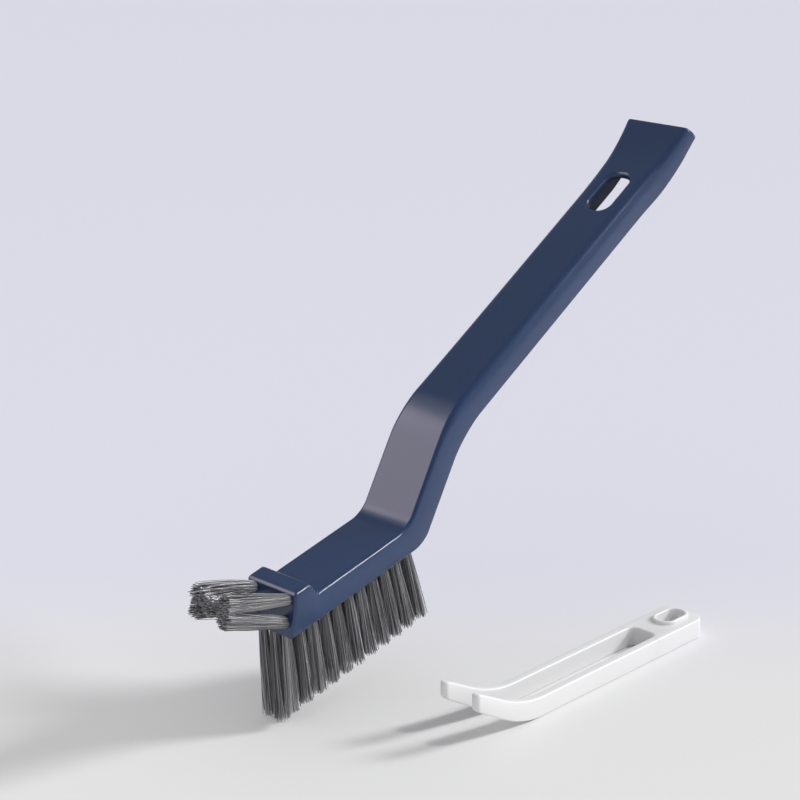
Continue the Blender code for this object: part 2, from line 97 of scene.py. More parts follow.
lamps = {
    # right and back: shares of the level direction to the lamp, as the camera sees it
    "key": {"right": 0.98, "back": -0.17, "height": 50.0, "strength": 0.75, "softness": 6.0},
    "brushKey": {"right": 0.98, "back": -0.17, "height": 50.0, "strength": 1.05, "softness": 4.0},
    "low": {"right": 0.97, "back": 0.25, "height": 28.0, "strength": 1.95, "softness": 13.0},
    # panels show in the brush's reflections only
    "leftPanel": {"right": -1.0, "back": 0.0, "height": 27.0, "away": 0.75,
                  "size": (0.62, 0.45), "power": 2.35, "color": (1.0, 0.88, 0.94)},
    "frontPanel": {"right": 0.9, "back": -0.45, "height": 20.0, "away": 0.9,
                   "size": (0.7, 0.4), "power": 0.4, "color": (1.0, 1.0, 1.0)},
    "fadePanel": {"right": -0.86, "back": 0.31, "height": 40.0, "away": 0.75,
                  "size": (0.24, 0.26), "power": 0.13, "color": (0.95, 0.95, 1.0)},
    "sunAway": 2.0,
    "skyColor": (0.72, 0.72, 0.745),
    "skyStrength": 0.70,
    "skyMirrored": 0.43,  # its strength in reflections
}

# the paper the brush stands on: lighter and greyer in front, where a pool of light is painted on it, and
# bluer behind
floorLook = {
    "size": 12.0,
    "front": (0.800, 0.800, 0.790),
    "back": (0.745, 0.745, 0.830),
    "fade": (-0.11, 0.03),  # where the tones change, along the camera's heading
    "roughness": 0.6,
}

# the moulded handle, in its head's own frame: u along the head, v square to it
handle = {
    "headLength": 62.9 * mm,
    "headThickness": 9.3 * mm,
    "width": 23.5 * mm,
    "noseLean": 21.5,
    "lipHeight": 4.8 * mm,
    "lipLength": 7.0 * mm,
    "lipBackLean": 22.5,
    "underLip": (0.7, 0.85),  # the underside's cuts, as shares of the lip's two lengths
    "neckAngle": 46.8,
    "neckLength": 38.9 * mm,
    "neckThickness": 10.6 * mm,
    "gripAngle": 18.5,
    "gripLength": 126.9 * mm,
    "gripThickness": 10.2 * mm,
    "flareAngle": 39.0,
    "flareLength": 19.8 * mm,
    "flareTaper": 3.5 * mm,
    "endWidth": 29.2 * mm,
    "flarePower": 1.6,
    "flareCuts": 5,
    "crown": 0.55 * mm,
    "bendRounds": (0.8 * mm, 0.8 * mm, 4.2 * mm, 9.5 * mm, 3.5 * mm, 8.5 * mm),
    "bendSteps": 10,
    "noseCorner": 1.2 * mm,
    "endCorner": 1.3 * mm,
    # the top edge's rounding, and how far from the nose each value holds
    "topEdgeAt": (0.0, 0.012, 0.015, 0.056, 0.063, 0.078, 0.100, 0.140, 0.190, 0.212, 0.222),
    "topEdge": (1.2 * mm, 1.1 * mm, 1.1 * mm, 1.1 * mm, 1.2 * mm, 1.2 * mm, 3.6 * mm, 3.4 * mm,
                3.2 * mm, 2.2 * mm, 1.0 * mm),
    "underEdge": 0.9 * mm,
    "edgeSteps": 6,
    "sharpAngle": 34.0,
    "neckCuts": 6,
    "neckCutsFrom": 12 * mm,  # before the neck's foot
    "gripCuts": 12,
    "gripCutsPast": 5 * mm,  # past the flare's start
    "roof": 2.4 * mm,
    "channelWidth": 17.4 * mm,
    "channelEndWall": 2.6 * mm,
    "channelCorner": 0.9 * mm,
    "channelCornerSteps": 4,
    "channelBack": 26.77 * mm,  # how far it runs down the neck from the bend
    "slotLength": 18.8 * mm,
    "slotWidth": 9.6 * mm,
    "slotCorner": 4.3 * mm,
    "slotFromFlare": 18.1 * mm,
    "slotRim": 1.5 * mm,
    "slotRimSteps": 6,
    "slotDepth": 9 * mm,  # how deep its tool reaches, past the roof
    "pitch": 13.6,
}

headTufts = {
    "count": 11,
    "rows": 3,
    "first": 3.2 * mm,
    "pitch": 5.55 * mm,
    "rowPitch": 5.4 * mm,
    "rootRadius": 1.45 * mm,
    "tipRadius": 2.6 * mm,
    "fanFront": -8.5,
    "fanRear": 1.5,
    "length": 28.3 * mm,
    "frontExtra": 4.6 * mm,
    "cells": 12,
}

noseTufts = {
    "rootRadius": 1.8 * mm,
    "tipRadius": 3.4 * mm,
    "length": 26.2 * mm,
    "angle": 151.0,
    "spreadY": 7.7 * mm,
    "spreadV": 3.7 * mm,
    "middle": 8.8 * mm,
    "close": 0.8,
    "closeV": 0.6,
    "cells": 15,
}

bristle = {
    "width": 0.19 * mm,
    "shares": (0.2, 0.4, 0.6, 0.8, 0.98, 1.0),
    "sink": 1.2 * mm,
    "jitter": 0.35,  # of a cell
    "spin": 1.57,  # the most that a bristle is turned, in radians
    "tipFrom": 0.9,  # the share of its length where a bristle's tip begins
    "paintedShadeTipsBelow": 0.15,  # bristles below this tone get a tip painted dark, painted shade between the cut ends; the rest get a tip painted light, painted light on the lit ends
    "ragged": 1.0 * mm,
    "bow": 0.2 * mm,
    "wander": 0.22 * mm,
    "strayShare": 0.05,
    "stray": 0.9 * mm,
    "tipTaper": 0.75,
}

clip = {
    "width": 16.5 * mm,
    "height": 7.2 * mm,
    "armThickness": 3.1 * mm,
    "length": 120.3 * mm,
    "bend": 23.0 * mm,
    "rise": 12.8 * mm,
    "tipHeight": 6.4 * mm,
    "bendSoft": 10.0 * mm,
    "bendCuts": 16,
    "blockLength": 24.3 * mm,
    "blockCorner": 4.5 * mm,
    "cornerSteps": (8, 5, 6),  # at the block, the tips and the arms' roots
    "rootRound": 2.5 * mm,
    "tipRound": 1.4 * mm,
    "tipSideRound": 2.3 * mm,
    "tipCuts": 6,
    "edge": 0.6 * mm,
    "edgeSteps": 4,
    "sharpAngle": 40.0,
    "eyeLength": 12.0 * mm,
    "eyeWidth": 6.6 * mm,
    "eyeFromEnd": 9.6 * mm,
    "eyeRim": 0.5 * mm,
    "eyeRimSteps": 4,
    "eyeCorner": 0.49,  # of the width, a little under a half round
    "collarHeight": 1.2 * mm,
    "collarWall": 1.3 * mm,
    "place": (-0.0136, -0.0515),
    "flexLength": 18.0 * mm,
}


def flat(angle):
    # direction in the side view, from degrees
    return Vector((math.cos(math.radians(angle)), math.sin(math.radians(angle))))


def leftOf(vector):
    return Vector((-vector.y, vector.x))


def crossing(pointA, alongA, pointB, alongB):
    cross = alongA.x * alongB.y - alongA.y * alongB.x
    gap = pointB - pointA
    return pointA + alongA * ((gap.x * alongB.y - gap.y * alongB.x) / cross)


def meshPiece(name, bm):
    bmesh.ops.recalc_face_normals(bm, faces=bm.faces[:])
    mesh = bpy.data.meshes.new(name)
    bm.to_mesh(mesh)
    bm.free()
    piece = bpy.data.objects.new(name, mesh)
    bpy.context.scene.collection.objects.link(piece)
    return piece


def cutOrJoin(piece, tool, operation):
    # applies one exact boolean and throws its tool away
    step = piece.modifiers.new("shape", "BOOLEAN")
    step.operation = operation
    step.solver = "EXACT"
    step.material_mode = "INDEX"
    step.object = tool
    bake(piece)
    bpy.data.objects.remove(tool, do_unlink=True)


def bake(piece):
    graph = bpy.context.evaluated_depsgraph_get()
    mesh = bpy.data.meshes.new_from_object(piece.evaluated_get(graph))
    piece.modifiers.clear()
    piece.data = mesh
    mesh.name = piece.name


def smoothShade(piece, angle):
    piece.data.shade_smooth()
    piece.data.set_sharp_from_angle(angle=math.radians(angle))
    weighted = piece.modifiers.new("even shading", "WEIGHTED_NORMAL")
    weighted.keep_sharp = True


def dress(piece, body, nodes):
    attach(piece, body)
    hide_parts(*nodes)


def shaderOf(name, color, roughness):
    material = bpy.data.materials.new(name)
    material.use_nodes = True
    shader = material.node_tree.nodes["Principled BSDF"]
    shader.inputs["Base Color"].default_value = (*color, 1.0)
    shader.inputs["Roughness"].default_value = roughness
    return material, shader


def addNoise(material, scale, detail, stretch=(1.0, 1.0, 1.0)):
    nodes = material.node_tree.nodes
    links = material.node_tree.links
    place = nodes.new("ShaderNodeTexCoord")
    turn = nodes.new("ShaderNodeMapping")
    turn.inputs["Scale"].default_value = stretch
    noise = nodes.new("ShaderNodeTexNoise")
    noise.inputs["Scale"].default_value = scale
    noise.inputs["Detail"].default_value = detail
    links.new(place.outputs["Object"], turn.inputs["Vector"])
    links.new(turn.outputs["Vector"], noise.inputs["Vector"])
    return noise


def addRange(material, source, low, high):
    nodes = material.node_tree.nodes
    spread = nodes.new("ShaderNodeMapRange")
    spread.inputs["From Min"].default_value = 0.3
    spread.inputs["From Max"].default_value = 0.7
    spread.inputs["To Min"].default_value = low
    spread.inputs["To Max"].default_value = high
    material.node_tree.links.new(source, spread.inputs["Value"])
    return spread


def addTones(material, source, dark, light):
    nodes = material.node_tree.nodes
    mix = nodes.new("ShaderNodeMix")
    mix.data_type = "RGBA"
    mix.inputs["A"].default_value = (*dark, 1.0)
    mix.inputs["B"].default_value = (*light, 1.0)
    material.node_tree.links.new(source, mix.inputs["Factor"])
    return mix


def addBump(material, shader, source, strength, distance):
    bump = material.node_tree.nodes.new("ShaderNodeBump")
    bump.inputs["Strength"].default_value = strength
    bump.inputs["Distance"].default_value = distance
    material.node_tree.links.new(source, bump.inputs["Height"])
    material.node_tree.links.new(bump.outputs["Normal"], shader.inputs["Normal"])


def navyPlastic():
    material, shader = shaderOf("navy moulded plastic", (0.012, 0.029, 0.084), 0.22)
    shader.inputs["Specular IOR Level"].default_value = 0.68
    links = material.node_tree.links
    cloud = addNoise(material, 55.0, 3.0)
    tones = addTones(material, cloud.outputs["Fac"], (0.0080, 0.0312, 0.1010), (0.0102, 0.0358, 0.1130))
    links.new(tones.outputs["Result"], shader.inputs["Base Color"])
    gloss = addRange(material, cloud.outputs["Fac"], 0.215, 0.245)
    links.new(gloss.outputs["Result"], shader.inputs["Roughness"])
    grain = addNoise(material, 2600.0, 2.0)
    addBump(material, shader, grain.outputs["Fac"], 0.06, 0.00003)
    return material


def navyPaintedShade():
    # the channel and the slot's throat: navy painted much darker than the plastic, as painted shade in
    # the hollows, and duller
    material, shader = shaderOf("navy painted shade", (0.004, 0.0095, 0.028), 0.6)
    shader.inputs["Specular IOR Level"].default_value = 0.22
    grain = addNoise(material, 1500.0, 2.0)
    addBump(material, shader, grain.outputs["Fac"], 0.1, 0.00004)
    return material


def whitePlastic():
    material, shader = shaderOf("white moulded plastic", (0.790, 0.790, 0.790), 0.36)
    shader.inputs["Subsurface Weight"].default_value = 0.2
    shader.inputs["Subsurface Radius"].default_value = (1.0, 1.0, 1.0)
    shader.inputs["Subsurface Scale"].default_value = 0.003
    links = material.node_tree.links
    cloud = addNoise(material, 60.0, 2.0)
    tones = addTones(material, cloud.outputs["Fac"], (0.780, 0.780, 0.780), (0.800, 0.800, 0.800))
    links.new(tones.outputs["Result"], shader.inputs["Base Color"])
    gloss = addRange(material, cloud.outputs["Fac"], 0.32, 0.4)
    links.new(gloss.outputs["Result"], shader.inputs["Roughness"])
    grain = addNoise(material, 2200.0, 2.0)
    addBump(material, shader, grain.outputs["Fac"], 0.1, 0.00004)
    return material


def greyNylon():
    material, shader = shaderOf("grey nylon bristle", (0.15, 0.15, 0.165), 0.42)
    links = material.node_tree.links
    tone = material.node_tree.nodes.new("ShaderNodeAttribute")
    tone.attribute_name = "tone"
    tones = addTones(material, tone.outputs["Fac"], (0.118, 0.117, 0.126), (0.500, 0.496, 0.512))
    links.new(tones.outputs["Result"], shader.inputs["Base Color"])
    streak = addNoise(material, 900.0, 2.0)
    gloss = addRange(material, streak.outputs["Fac"], 0.36, 0.5)
    links.new(gloss.outputs["Result"], shader.inputs["Roughness"])
    addBump(material, shader, streak.outputs["Fac"], 0.15, 0.00003)
    return material


def paleFloor():
    material, shader = shaderOf("pale floor", floorLook["back"], floorLook["roughness"])
    shader.inputs["Specular IOR Level"].default_value = 0.1
    nodes = material.node_tree.nodes
    links = material.node_tree.links
    ahead, right = cameraSides()
    place = nodes.new("ShaderNodeTexCoord")
    along = nodes.new("ShaderNodeVectorMath")
    along.operation = "DOT_PRODUCT"
    along.inputs[1].default_value = ahead
    fade = nodes.new("ShaderNodeMapRange")
    fade.interpolation_type = "SMOOTHSTEP"
    fade.inputs["From Min"].default_value = floorLook["fade"][0]
    fade.inputs["From Max"].default_value = floorLook["fade"][1]
    links.new(place.outputs["Object"], along.inputs[0])
    links.new(along.outputs["Value"], fade.inputs["Value"])
    # the tones blend from the lighter front, a painted pool of light, to the bluer back
    tones = addTones(material, fade.outputs["Result"], floorLook["front"], floorLook["back"])
    links.new(tones.outputs["Result"], shader.inputs["Base Color"])
    return material


def sideKeys():
    # paired points of the underside and the top, from nose to end
    neck = flat(handle["neckAngle"])
    grip = flat(handle["gripAngle"])
    flare = flat(handle["flareAngle"])
    lipTop = handle["headThickness"] + handle["lipHeight"]
    noseTop = Vector((lipTop * math.tan(math.radians(handle["noseLean"])), lipTop))
    lipBack = noseTop + Vector((handle["lipLength"], 0.0))
    lipRun = handle["lipHeight"] * math.tan(math.radians(handle["lipBackLean"]))
    lipFoot = Vector((lipBack.x + lipRun, handle["headThickness"]))
    heel = Vector((handle["headLength"], 0.0))
    bend = heel + neck * handle["neckLength"]
    flareStart = bend + grip * handle["gripLength"]
    endUnder = flareStart + flare * handle["flareLength"]
    neckTop = heel + leftOf(neck) * handle["neckThickness"]
    gripTop = bend + leftOf(grip) * handle["gripThickness"]
    endTop = endUnder + leftOf(flare) * (handle["gripThickness"] - handle["flareTaper"])
    taper = math.degrees(math.atan(handle["flareTaper"] / handle["flareLength"]))
    halfWay = flareStart - grip * handle["flareLength"]
    under = [
        Vector((0.0, 0.0)),
        Vector((lipBack.x * handle["underLip"][0], 0.0)),
        Vector((lipFoot.x * handle["underLip"][1], 0.0)),
        heel,
        bend,
        halfWay,
        flareStart,
        endUnder,
    ]
    top = [
        noseTop,
        lipBack,
        lipFoot,
        crossing(lipFoot, Vector((1.0, 0.0)), neckTop, neck),
        crossing(neckTop, neck, gripTop, grip),
        halfWay + leftOf(grip) * handle["gripThickness"],
        crossing(gripTop, grip, endTop, flat(handle["flareAngle"] - taper / 2)),
        endTop,
    ]
    return under, top


def slotCentre():
    grip = flat(handle["gripAngle"])
    bend = Vector((handle["headLength"], 0.0)) + flat(handle["neckAngle"]) * handle["neckLength"]
    along = handle["gripLength"] - handle["slotFromFlare"]
    return bend + grip * along + leftOf(grip) * handle["gripThickness"]


def headFrame():
    slot = slotCentre()
    turn = Matrix.Rotation(math.radians(-handle["pitch"]), 4, "Y")
    return turn @ Matrix.Translation((-slot.x, 0.0, -slot.y))


def pushFace(bm, face, isFirst):
    # extrudes a face and returns the moved one; only a first face stays behind as the back
    pushed = bmesh.ops.extrude_face_region(bm, geom=[face])["geom"]
    if not isFirst:
        bmesh.ops.delete(bm, geom=[face], context="FACES_ONLY")
    return [item for item in pushed if isinstance(item, bmesh.types.BMFace)][0]


def sweptBlock(stations, half):
    # pushes one four-cornered face through the stations; its layer counts them
    bm = bmesh.new()
    level = bm.verts.layers.float.new("level")
    station = bm.verts.layers.float.new("station")
    corners = []
    for side, rise in ((-1, 0), (1, 0), (1, 1), (-1, 1)):
        vert = bm.verts.new((stations[0][rise].x, side * half, stations[0][rise].y))
        vert[level] = rise
        corners.append(vert)
    face = bm.faces.new(corners)
    for number, ends in enumerate(stations[1:], start=1):
        face = pushFace(bm, face, number == 1)
        for vert in face.verts:
            spot = ends[round(vert[level])]
            vert.co = (spot.x, vert.co.y, spot.y)
            vert[station] = number
    bmesh.ops.recalc_face_normals(bm, faces=bm.faces[:])
    return bm, level, station


def roundEdges(bm, edges, amount, steps):
    bmesh.ops.bevel(
        bm, geom=edges, offset=amount, offset_type="OFFSET", segments=steps, profile=0.5,
        affect="EDGES", material=-1, clamp_overlap=False, loop_slide=True,
    )


def roundBends(bm, station, rounds, steps):
    for number, amount in enumerate(rounds, start=1):
        ring = [
            edge for edge in bm.edges
            if all(abs(vert[station] - number) < 0.01 for vert in edge.verts)
        ]
        roundEdges(bm, ring, amount, steps)


def markZones(bm, level):
    # sides 0, top 1, underside 2
    for face in bm.faces:
        rises = [vert[level] for vert in face.verts]
        face.material_index = 1 if min(rises) > 0.5 else 2 if max(rises) < 0.5 else 0


def edgesBetween(bm, zones):
    return [
        edge for edge in bm.edges
        if {face.material_index for face in edge.link_faces} == zones
    ]


def turnedEdges(bm):
    # the upright corners of nose and end
    return [
        edge for edge in edgesBetween(bm, {0})
        if abs(edge.link_faces[0].normal.x - edge.link_faces[1].normal.x) > 0.5
    ]


def valueAlong(u, marks, values):
    # from one mark to the next in a straight line
    value = values[0]
    for low, high, before, after in zip(marks, marks[1:], values, values[1:]):
        value += (after - before) * min(max((u - low) / (high - low), 0.0), 1.0)
    return value


def cutAlong(bm, low, high, cuts):
    # cuts the long edges between two places on u
    longEdges = [
        edge for edge in bm.edges
        if abs(edge.verts[0].co.y - edge.verts[1].co.y) < 0.1 * mm
        and edge.calc_length() > 8 * mm
        and all(low < vert.co.x < high for vert in edge.verts)
    ]
    bmesh.ops.subdivide_edges(bm, edges=longEdges, cuts=cuts, use_grid_fill=True)


def softenEdges(piece, widest, steps):
    # one bevel for all edges, each as wide as its weight says
    soft = piece.modifiers.new("soft edges", "BEVEL")
    soft.affect = "EDGES"
    soft.limit_method = "WEIGHT"
    soft.offset_type = "OFFSET"
    soft.width = widest
    soft.segments = steps
    soft.profile = 0.5
    soft.material = -1
    soft.use_clamp_overlap = False
    soft.loop_slide = True
    bake(piece)


def handleShell():
    under, top = sideKeys()
    half = handle["width"] / 2
    bm, level, station = sweptBlock(list(zip(under, top)), half)
    markZones(bm, level)
    uprights = [edge for edge in bm.edges if abs(edge.verts[0][level] - edge.verts[1][level]) > 0.5]
    bmesh.ops.subdivide_edges(bm, edges=uprights, cuts=1, use_grid_fill=True)
    for vert in bm.verts:
        if abs(vert[level] - 0.5) > 0.25:
            vert.co.y -= math.copysign(handle["crown"], vert.co.y)
    roundBends(bm, station, handle["bendRounds"], handle["bendSteps"])
    flareU, endU = under[5].x, under[-1].x
    cutAlong(bm, under[3].x - handle["neckCutsFrom"], under[4].x, handle["neckCuts"])
    cutAlong(bm, top[4].x, flareU + handle["gripCutsPast"], handle["gripCuts"])
    cutAlong(bm, flareU - 1 * mm, endU + 1 * mm, handle["flareCuts"])
    for vert in bm.verts:
        share = min(max((vert.co.x - flareU) / (endU - flareU), 0.0), 1.0)
        grow = (handle["endWidth"] / handle["width"] - 1.0) * share ** handle["flarePower"]
        vert.co.y *= 1.0 + grow
    bmesh.ops.recalc_face_normals(bm, faces=bm.faces[:])
    weight = bm.edges.layers.float.new("bevel_weight_edge")
    widest = max(handle["topEdge"])
    for edge in edgesBetween(bm, {0, 1}):
        middle = (edge.verts[0].co.x + edge.verts[1].co.x) / 2
        edge[weight] = valueAlong(middle, handle["topEdgeAt"], handle["topEdge"]) / widest
    for edge in edgesBetween(bm, {0, 2}):
        edge[weight] = handle["underEdge"] / widest
    for edge in turnedEdges(bm):
        if edge.verts[0].co.x < half:
            edge[weight] = handle["noseCorner"] / widest
        elif edge.verts[0].co.x > flareU:
            edge[weight] = handle["endCorner"] / widest
    for face in bm.faces:
        face.material_index = 0
    bmesh.ops.transform(bm, matrix=headFrame(), verts=bm.verts[:])
    piece = meshPiece("moulded_handle", bm)
    softenEdges(piece, widest, handle["edgeSteps"])
    return piece


def channelTool():
    # the hollow under neck and grip, open downward
    neck = flat(handle["neckAngle"])
    grip = flat(handle["gripAngle"])
    flare = flat(handle["flareAngle"])
    under, top = sideKeys()
    over = 4 * mm
    bendOut = leftOf((neck + grip).normalized())
    flareOut = leftOf((grip + flare).normalized())
    flareTop = (top[7] - top[6]).normalized()
    start = under[4] - neck * handle["channelBack"]
    endWall = handle["channelEndWall"]
    low = [
        start - leftOf(neck) * over,
        under[4] - bendOut * over,
        under[6] - flareOut * over,
        under[7] - flare * endWall - leftOf(flare) * over,
    ]
    high = [
        start + leftOf(neck) * (handle["neckThickness"] - handle["roof"]),
        top[4] - bendOut * handle["roof"],
        top[6] - flareOut * handle["roof"],
        top[7] - flareTop * endWall - leftOf(flareTop) * handle["roof"],
    ]
    bm, level, station = sweptBlock(list(zip(low, high)), handle["channelWidth"] / 2)
    markZones(bm, level)
    roundBends(bm, station, handle["bendRounds"][4:], handle["bendSteps"])
    roundEdges(bm, edgesBetween(bm, {0, 1}), handle["channelCorner"], handle["channelCornerSteps"])
    # the channel's faces take the navy painted darker, as painted shade in the hollow
    for face in bm.faces:
        face.material_index = 1
    bmesh.ops.transform(bm, matrix=headFrame(), verts=bm.verts[:])
    return meshPiece("channel_tool", bm)


def oblongPlug(size, levels):
    # an oblong face pushed up through levels of height and growth
    length, width, corner = size
    bm = bmesh.new()
    spots = ((-length, -width), (length, -width), (length, width), (-length, width))
    verts = [bm.verts.new((x / 2, y / 2, levels[0][0])) for x, y in spots]
    face = bm.faces.new(verts)
    bmesh.ops.bevel(
        bm, geom=verts, offset=corner, offset_type="OFFSET", segments=10, profile=0.5,
        affect="VERTICES", material=-1,
    )
    face = bm.faces[:][0]
    for (before, grownBefore), (height, grown) in zip(levels, levels[1:]):
        face = pushFace(bm, face, before == levels[0][0])
        scale = (
            (length + 2 * grown) / (length + 2 * grownBefore),
            (width + 2 * grown) / (width + 2 * grownBefore),
            1.0,
        )
        bmesh.ops.scale(bm, vec=scale, verts=face.verts[:])
        bmesh.ops.translate(bm, vec=(0.0, 0.0, height - before), verts=face.verts[:])
    return bm


def rimLevels(low, high, rim, steps, over):
    # a straight wall that opens into a rounded rim at the top
    levels = [(low, 0.0)]
    for step in range(steps + 1):
        angle = math.radians(90.0 * step / steps)
        levels.append((high + rim * (math.sin(angle) - 1.0), rim * (1.0 - math.cos(angle))))
    levels.append((high + over, rim))
    return levels


def slotTool():
    size = (handle["slotLength"], handle["slotWidth"], handle["slotCorner"])
    levels = rimLevels(-handle["slotDepth"], 0.0, handle["slotRim"], handle["slotRimSteps"], toolOver)
    bm = oblongPlug(size, levels)
    # faces below the rim take the navy painted darker, as painted shade in the slot's throat
    for face in bm.faces:
        face.material_index = 1 if face.calc_center_median().z < -handle["slotRim"] else 0
    turn = Matrix.Rotation(math.radians(-handle["gripAngle"] - handle["pitch"]), 4, "Y")
    bmesh.ops.transform(bm, matrix=turn, verts=bm.verts[:])
    return meshPiece("slot_tool", bm)


def strandTuft(name, root, tip, look, trimAlong, seed):
    # a disc of small faces, each drawn out into one bristle
    dice = random.Random(seed)
    way = tip - root
    turn = way.to_track_quat("Z", "Y").to_matrix().to_4x4()
    trimNormal = Vector((0.0, 0.0, 1.0))
    if trimAlong is not None:
        trimNormal = turn.inverted() @ trimAlong
    trimPoint = Vector((0.0, 0.0, way.length))
    rootRadius = look["rootRadius"]
    bm = bmesh.new()
    tone = bm.verts.layers.float.new("tone")
    tipAt = bm.faces.layers.float_vector.new("tipAt")
    rootAt = bm.faces.layers.float_vector.new("rootAt")
    bowAt = bm.faces.layers.float_vector.new("bowAt")
    cells = look["cells"]
    bmesh.ops.create_grid(bm, x_segments=cells, y_segments=cells, size=rootRadius)
    outside = [face for face in bm.faces if face.calc_center_median().length > rootRadius]
    bmesh.ops.delete(bm, geom=outside, context="FACES")
    bmesh.ops.split_edges(bm, edges=bm.edges[:])
    cell = 2 * rootRadius / cells
    for face in bm.faces:
        centre = face.calc_center_median()
        off = bristle["jitter"]
        jitter = Vector((dice.uniform(-off, off), dice.uniform(-off, off), 0.0)) * cell
        spin = Matrix.Rotation(dice.uniform(0.0, bristle["spin"]), 3, "Z")
        shade = dice.random() ** 2
        for vert in face.verts:
            corner = (vert.co - centre) * (bristle["width"] / cell)
            vert.co = centre + jitter + spin @ corner
            vert.co.z = -bristle["sink"]
            vert[tone] = shade
        start = centre + jitter
        spread = (look["tipRadius"] / rootRadius - 1.0) / way.length
        heading = Vector((start.x * spread, start.y * spread, 1.0))
        reach = (trimPoint - start).dot(trimNormal) / heading.dot(trimNormal)
        reach -= dice.random() ** 2 * bristle["ragged"]
        wander = Vector((dice.gauss(0.0, 1.0), dice.gauss(0.0, 1.0), 0.0)) * bristle["wander"]
        if dice.random() < bristle["strayShare"]:
            wander = wander.normalized() * bristle["stray"]
            reach -= dice.random() * bristle["ragged"]
        bow = Vector((dice.gauss(0.0, 1.0), dice.gauss(0.0, 1.0), 0.0)) * bristle["bow"]
        face[rootAt] = start
        face[tipAt] = start + heading * reach + wander
        face[bowAt] = bow
    faces = bm.faces[:]
    for share in bristle["shares"]:
        faces = bmesh.ops.extrude_discrete_faces(bm, faces=faces)["faces"]
        for face in faces:
            centre = face.calc_center_median()
            start = face[rootAt]
            goal = start + (face[tipAt] - start) * share
            goal += face[bowAt] * math.sin(math.pi * share)
            size = bristle["tipTaper"] if share == 1.0 else 1.0
            for vert in face.verts:
                vert.co = goal + (vert.co - centre) * size
                # most tips painted light and the rest dark: painted light and shade of the cut ends
                if share > bristle["tipFrom"]:
                    vert[tone] = 1.0 if vert[tone] > bristle["paintedShadeTipsBelow"] else 0.0
    bmesh.ops.transform(bm, matrix=headFrame() @ Matrix.Translation(root) @ turn, verts=bm.verts[:])
    piece = meshPiece(name, bm)
    piece.data.shade_smooth()
    return piece


def buildTufts(material):
    for row in range(headTufts["rows"]):
        y = headTufts["rowPitch"] * (row - (headTufts["rows"] - 1) / 2)
        for number in range(headTufts["count"]):
            share = number / (headTufts["count"] - 1)
            fan = headTufts["fanFront"] + (headTufts["fanRear"] - headTufts["fanFront"]) * share
            reach = headTufts["length"]
            if number == 0 and row > 0:
                reach += headTufts["frontExtra"]
            u = headTufts["first"] + headTufts["pitch"] * number
            root = Vector((u, y, 0.0))
            tip = Vector((u + reach * math.tan(math.radians(fan)), y, -reach))
            node = f"head_tuft_{row + 1}_{number + 1:02d}"
            seed = 100 * row + number
            piece = strandTuft(f"bristles_{row + 1}_{number + 1:02d}", root, tip, headTufts,
                               Vector((0.0, 0.0, -1.0)), seed)
            piece.data.materials.append(material)
            dress(piece, "brush", [node])
    face = flat(90.0 - handle["noseLean"])
    way = flat(noseTufts["angle"]) * noseTufts["length"]
    places = ((0, 0), (-1, -1), (-1, 1), (1, -1), (1, 1))
    for number, (side, level) in enumerate(places):
        spread = noseTufts["spreadV"] * level
        low = face * (noseTufts["middle"] + spread)
        high = face * (noseTufts["middle"] + spread * noseTufts["closeV"]) + way
        y = noseTufts["spreadY"] * side
        root = Vector((low.x, y, low.y))
        tip = Vector((high.x, y * noseTufts["close"], high.y))
        piece = strandTuft(f"nose_bristles_{number + 1}", root, tip, noseTufts, None, 900 + number)
        piece.data.materials.append(material)
        dress(piece, "brush", [f"nose_tuft_{number + 1}"])


